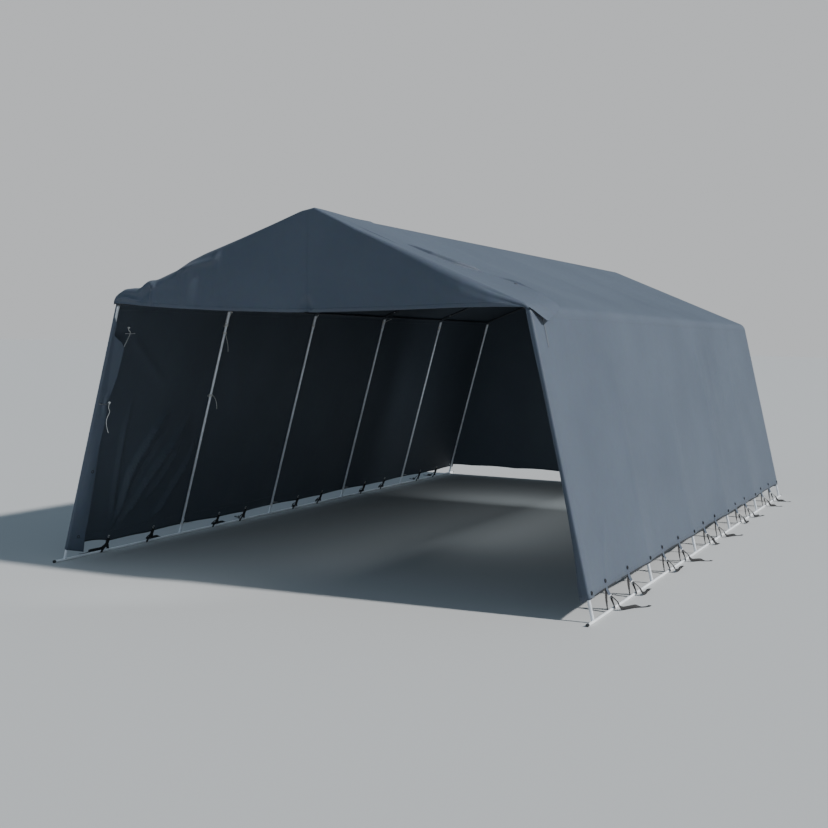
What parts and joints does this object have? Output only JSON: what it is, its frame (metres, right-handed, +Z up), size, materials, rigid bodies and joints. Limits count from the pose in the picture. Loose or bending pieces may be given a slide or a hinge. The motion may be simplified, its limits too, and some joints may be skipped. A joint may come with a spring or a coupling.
{
  "type": "garage tent",
  "caption": "Open-fronted garage tent: slim steel tube portal frames with leaning legs and a pitched roof, under a dark cloth cover strapped to ground rails.",
  "frame": {"origin": "on the ground, under the middle of the plan", "axes": "+Z up; the open front looks along -Y, so +Y runs back along the ridge and +X is to the right of someone facing the open front"},
  "size_m": [4.5724, 7.74, 2.6227],
  "materials": {
    "tube": "bright galvanised, slightly dulled",
    "cover": "anthracite coated cloth with a faint sheen",
    "webbing": "black woven webbing",
    "cord": "white braided cord"
  },
  "bodies": {
    "root": {"left_ground_rail": "tube", "right_ground_rail": "tube", "left_leg_1": "tube", "left_leg_2": "tube", "left_leg_3": "tube", "left_leg_4": "tube", "left_leg_5": "tube", "left_leg_6": "tube", "right_leg_1": "tube", "right_leg_2": "tube", "right_leg_3": "tube", "right_leg_4": "tube", "right_leg_5": "tube", "right_leg_6": "tube", "left_rafter_1": "tube", "left_rafter_2": "tube", "left_rafter_3": "tube", "left_rafter_4": "tube", "left_rafter_5": "tube", "left_rafter_6": "tube", "right_rafter_1": "tube", "right_rafter_2": "tube", "right_rafter_3": "tube", "right_rafter_4": "tube", "right_rafter_5": "tube", "right_rafter_6": "tube", "left_eaves_purlin": "tube", "right_eaves_purlin": "tube", "ridge_purlin": "tube", "left_wall_cover": "cover", "right_wall_cover": "cover", "left_roof_cover": "cover", "right_roof_cover": "cover", "rear_wall_cover": "cover", "front_valance": "cover", "left_front_hood": "cover", "right_front_hood": "cover", "left_front_flap": "cover", "right_front_flap": "cover", "left_hem_and_straps": "webbing", "right_hem_and_straps": "webbing", "tie_cord_leg_2_upper": "cord", "tie_cord_leg_2_lower": "cord", "tie_cord_left_flap": "cord", "tie_cord_right_corner": "cord"}
  },
  "joints": []
}
